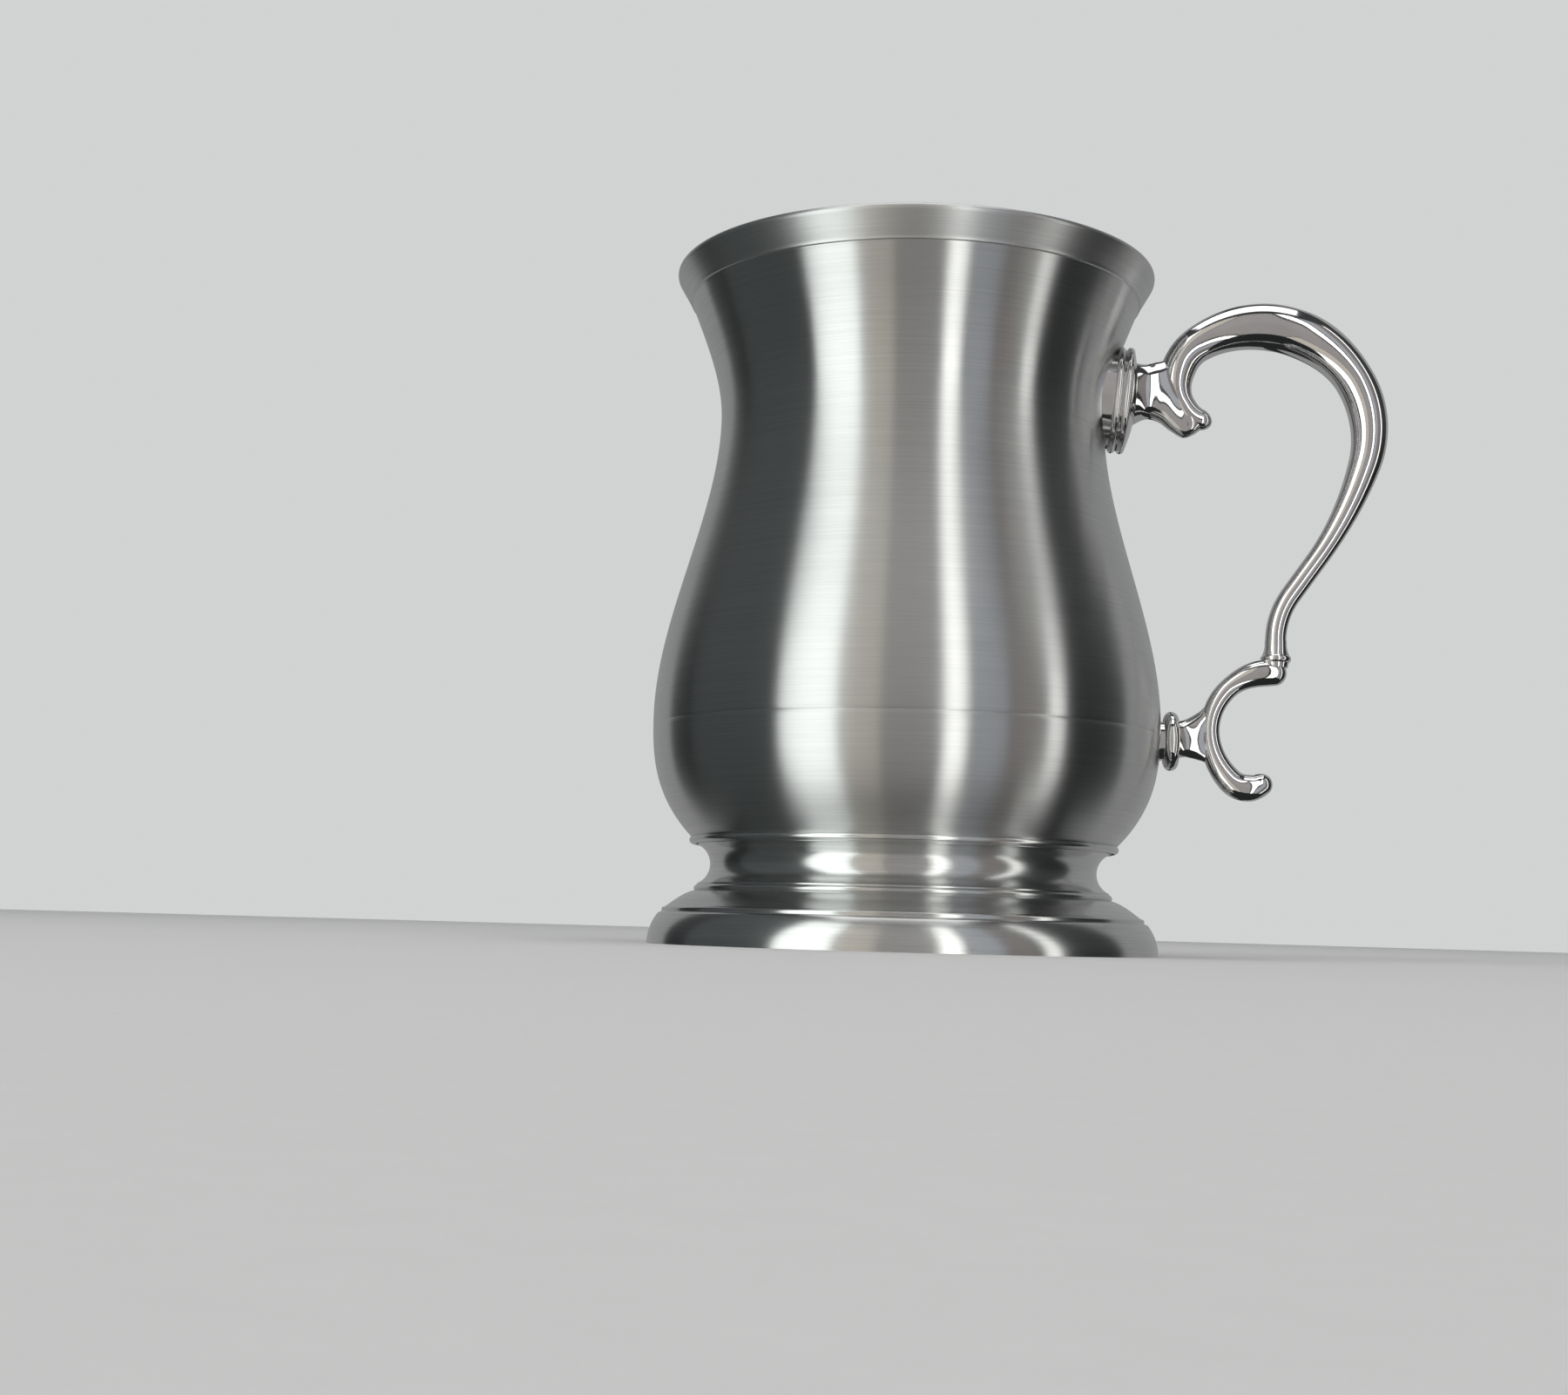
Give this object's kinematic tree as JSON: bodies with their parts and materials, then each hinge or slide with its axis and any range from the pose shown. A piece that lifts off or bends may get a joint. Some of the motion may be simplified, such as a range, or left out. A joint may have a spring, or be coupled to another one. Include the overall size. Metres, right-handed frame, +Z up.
{
  "type": "tankard",
  "caption": "Lidless tulip-shaped pewter tankard with a lip band, a spun stepped foot and a polished double-scroll handle on two turned bosses.",
  "frame": {"origin": "on the bowl's axis, in the plane that the foot stands on", "axes": "+Z up out of the mouth, +X out along the handle, +Y to the left of the handle"},
  "size_m": [0.1364, 0.0948, 0.128],
  "materials": {
    "satin_pewter": "pewter, spun and satin brushed round the axis",
    "polished_pewter": "pewter, cast and mirror polished"
  },
  "bodies": {
    "root": {"upper_body": "satin_pewter", "lower_body": "satin_pewter", "lip_band": "satin_pewter", "body_bead": "satin_pewter", "foot_spool": "satin_pewter", "foot_bead": "satin_pewter", "foot_flange": "satin_pewter", "upper_boss": "polished_pewter", "upper_neck": "polished_pewter", "upper_scroll": "polished_pewter", "scroll_knuckle": "polished_pewter", "lower_scroll": "polished_pewter", "lower_boss": "polished_pewter", "lower_neck": "polished_pewter"}
  },
  "joints": []
}
